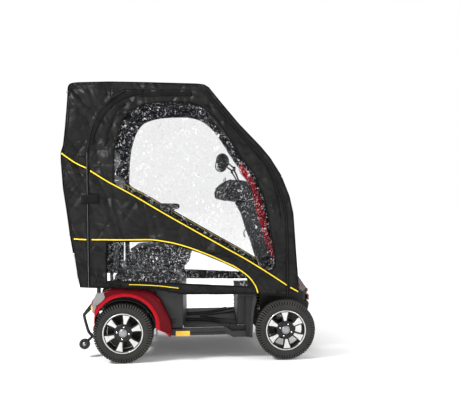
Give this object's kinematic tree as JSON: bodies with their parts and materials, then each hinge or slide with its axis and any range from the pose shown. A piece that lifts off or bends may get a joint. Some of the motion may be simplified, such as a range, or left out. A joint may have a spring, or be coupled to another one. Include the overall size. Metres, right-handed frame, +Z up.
{
  "type": "mobility scooter",
  "caption": "Four-wheel mobility scooter with a tiller, captain's seat and a zip-up black weather canopy with clear windows and yellow piping.",
  "frame": {"origin": "on the ground under the middle of the scooter", "axes": "+X forward, +Y to the rider's left, +Z up"},
  "size_m": [1.51, 0.69, 1.656],
  "materials": {
    "black_steel": "satin",
    "grey_plastic": "matte",
    "black_plastic": "satin",
    "red_paint": "gloss metallic",
    "lens": "clear moulded",
    "spring_grey": "satin",
    "spring_gold": "satin",
    "canopy_cloth": "coated woven nylon",
    "clear_film": "clear flexible film",
    "cast_aluminium": "as cast",
    "tyre_rubber": "matte",
    "rim_alloy": "machined and black",
    "grip_rubber": "matte",
    "key_metal": "polished",
    "yellow_plastic": "gloss",
    "seat_vinyl": "grained vinyl"
  },
  "bodies": {
    "chassis": {"chassis_frame": "black_steel", "floor_deck": "grey_plastic", "body_cover": "grey_plastic", "batteries": "black_plastic", "rear_fenders": "red_paint", "tail_lights": "lens", "rear_bumper": "black_steel", "footwell_panel": "grey_plastic", "nose_cowl": "black_plastic", "headlights": "lens", "dampers": "black_plastic", "rear_springs": "spring_grey", "front_springs": "spring_gold", "canopy_frame": "black_steel", "canopy_roof": "canopy_cloth", "canopy_back": "canopy_cloth", "canopy_sides": "canopy_cloth", "canopy_front": "canopy_cloth", "windscreen": "clear_film", "rear_window": "clear_film"},
    "rear_axle": {"rear_swing_arm": "black_steel", "drive_unit": "cast_aluminium"},
    "front_beam": {"front_axle": "black_steel"},
    "steering": {"steering_column": "black_steel"},
    "tiller": {"tiller_stem": "black_plastic", "tiller_cowl": "red_paint", "console": "black_plastic", "handlebar": "black_steel", "grips": "grip_rubber"},
    "throttle": {"throttle_lever": "black_plastic"},
    "brake": {"brake_lever": "black_plastic"},
    "key": {"key_switch": "key_metal"},
    "horn": {"horn_button": "yellow_plastic"},
    "link": {"tie_rod": "black_steel"},
    "post": {"seat_post": "black_steel"},
    "swivel_base": {"seat_base": "black_steel"},
    "seat": {"seat_pan": "black_steel", "seat_cushion": "seat_vinyl"},
    "back": {"backrest": "seat_vinyl"},
    "head": {"headrest": "seat_vinyl"},
    "rear_right_wheel": {"rear_right_tyre": "tyre_rubber", "rear_right_rim": "rim_alloy"},
    "front_right_wheel": {"front_right_tyre": "tyre_rubber", "front_right_rim": "rim_alloy"},
    "knuckle_right_body": {"knuckle_right": "black_steel"},
    "mirror_right_body": {"mirror_right": "black_plastic"},
    "armrest_right_body": {"armrest_right": "seat_vinyl"},
    "door_right_body": {"door_right": "canopy_cloth", "door_windows_right": "clear_film"},
    "anti_tip_right_body": {"anti_tip_wheel_right": "tyre_rubber"},
    "rear_left_wheel": {"rear_left_tyre": "tyre_rubber", "rear_left_rim": "rim_alloy"},
    "front_left_wheel": {"front_left_tyre": "tyre_rubber", "front_left_rim": "rim_alloy"},
    "knuckle_left_body": {"knuckle_left": "black_steel"},
    "mirror_left_body": {"mirror_left": "black_plastic"},
    "armrest_left_body": {"armrest_left": "seat_vinyl"},
    "door_left_body": {"door_left": "canopy_cloth", "door_windows_left": "clear_film"},
    "anti_tip_left_body": {"anti_tip_wheel_left": "tyre_rubber"}
  },
  "joints": [
    {"name": "rear_suspension", "type": "hinge", "parent": "chassis", "child": "rear_axle", "pos_m": [-0.18, 0, 0.172], "axis": [0, 1, 0], "range_deg": [0, 3], "stiffness_Nm_per_rad": 2500, "springref_deg": -8.02, "deforming": ["rear_springs"]},
    {"name": "front_suspension", "type": "hinge", "parent": "chassis", "child": "front_beam", "pos_m": [0.38, 0, 0.172], "axis": [0, -1, 0], "range_deg": [0, 3], "stiffness_Nm_per_rad": 2000, "springref_deg": -8.02, "deforming": ["front_springs"]},
    {"name": "steering", "type": "hinge", "parent": "chassis", "child": "steering", "pos_m": [0.56, 0, 0.262], "axis": [-0.342, 0, 0.9397], "range_deg": [-26, 26]},
    {"name": "tiller_tilt", "type": "hinge", "parent": "steering", "child": "tiller", "pos_m": [0.49844, 0, 0.43114], "axis": [0, -1, 0], "range_deg": [-4, 12]},
    {"name": "throttle", "type": "hinge", "parent": "tiller", "child": "throttle", "pos_m": [0.29, -0.098, 1.012], "axis": [0, 0, 1], "range_deg": [-12, 12], "stiffness_Nm_per_rad": 0.4},
    {"name": "brake", "type": "hinge", "parent": "tiller", "child": "brake", "pos_m": [0.29, 0.098, 1.012], "axis": [0, 0, 1], "range_deg": [0, 15], "stiffness_Nm_per_rad": 0.4, "springref_deg": -5.73},
    {"name": "key", "type": "hinge", "parent": "tiller", "child": "key", "pos_m": [0.23, -0.03, 1.09], "axis": [0, 0, 1], "range_deg": [0, 60]},
    {"name": "horn", "type": "slide", "parent": "tiller", "child": "horn", "axis": [0, 0, -1], "range_m": [0, 0.004], "stiffness_N_per_m": 400, "springref_m": -0.002},
    {"name": "link", "type": "hinge", "parent": "knuckle_right_body", "child": "link", "pos_m": [0.504, -0.235, 0.2], "axis": [0, 0, 1], "range_deg": [-26, 26]},
    {"name": "seat_lift", "type": "slide", "parent": "chassis", "child": "post", "axis": [0, 0, 1], "range_m": [0, 0.05]},
    {"name": "seat_swivel", "type": "hinge", "parent": "post", "child": "swivel_base", "pos_m": [-0.212, 0, 0.53], "axis": [0, 0, 1], "range_deg": [-10, 10]},
    {"name": "seat_slide", "type": "slide", "parent": "swivel_base", "child": "seat", "axis": [1, 0, 0], "range_m": [-0.02, 0.03]},
    {"name": "back_fold", "type": "hinge", "parent": "seat", "child": "back", "pos_m": [-0.44, 0, 0.715], "axis": [0, 1, 0], "range_deg": [0, 45]},
    {"name": "headrest_lift", "type": "slide", "parent": "back", "child": "head", "axis": [0, 0, 1], "range_m": [0, 0.05]},
    {"name": "rear_right_wheel", "type": "hinge", "parent": "rear_axle", "child": "rear_right_wheel", "pos_m": [-0.39, -0.292, 0.1775], "axis": [0, 1, 0], "continuous": true},
    {"name": "front_right_wheel", "type": "hinge", "parent": "knuckle_right_body", "child": "front_right_wheel", "pos_m": [0.574, -0.292, 0.1775], "axis": [0, 1, 0], "continuous": true},
    {"name": "kingpin_right", "type": "hinge", "parent": "front_beam", "child": "knuckle_right_body", "pos_m": [0.574, -0.235, 0.1775], "axis": [0, 0, 1], "range_deg": [-26, 26]},
    {"name": "mirror_right", "type": "hinge", "parent": "tiller", "child": "mirror_right_body", "pos_m": [0.284, -0.16, 1.152], "axis": [0, 0, 1], "range_deg": [-20, 20]},
    {"name": "armrest_right", "type": "hinge", "parent": "seat", "child": "armrest_right_body", "pos_m": [-0.44, -0.25, 0.905], "axis": [0, -1, 0], "range_deg": [0, 90]},
    {"name": "door_right", "type": "hinge", "parent": "chassis", "child": "door_right_body", "pos_m": [-0.13, -0.312, 1.612], "axis": [-1, 0, 0], "range_deg": [0, 95]},
    {"name": "anti_tip_right", "type": "hinge", "parent": "chassis", "child": "anti_tip_right_body", "pos_m": [-0.643, -0.193, 0.086], "axis": [0, 1, 0], "continuous": true},
    {"name": "rear_left_wheel", "type": "hinge", "parent": "rear_axle", "child": "rear_left_wheel", "pos_m": [-0.39, 0.292, 0.1775], "axis": [0, 1, 0], "continuous": true},
    {"name": "front_left_wheel", "type": "hinge", "parent": "knuckle_left_body", "child": "front_left_wheel", "pos_m": [0.574, 0.292, 0.1775], "axis": [0, 1, 0], "continuous": true},
    {"name": "kingpin_left", "type": "hinge", "parent": "front_beam", "child": "knuckle_left_body", "pos_m": [0.574, 0.235, 0.1775], "axis": [0, 0, 1], "range_deg": [-26, 26]},
    {"name": "mirror_left", "type": "hinge", "parent": "tiller", "child": "mirror_left_body", "pos_m": [0.284, 0.16, 1.152], "axis": [0, 0, 1], "range_deg": [-20, 20]},
    {"name": "armrest_left", "type": "hinge", "parent": "seat", "child": "armrest_left_body", "pos_m": [-0.44, 0.25, 0.905], "axis": [0, -1, 0], "range_deg": [0, 90]},
    {"name": "door_left", "type": "hinge", "parent": "chassis", "child": "door_left_body", "pos_m": [-0.13, 0.312, 1.612], "axis": [1, 0, 0], "range_deg": [0, 95]},
    {"name": "anti_tip_left", "type": "hinge", "parent": "chassis", "child": "anti_tip_left_body", "pos_m": [-0.643, 0.193, 0.086], "axis": [0, 1, 0], "continuous": true}
  ],
  "couplings": [
    {"joint": "kingpin_right", "follows": "steering", "ratio": 1},
    {"joint": "kingpin_left", "follows": "steering", "ratio": 1},
    {"joint": "link", "follows": "steering", "ratio": -1}
  ]
}
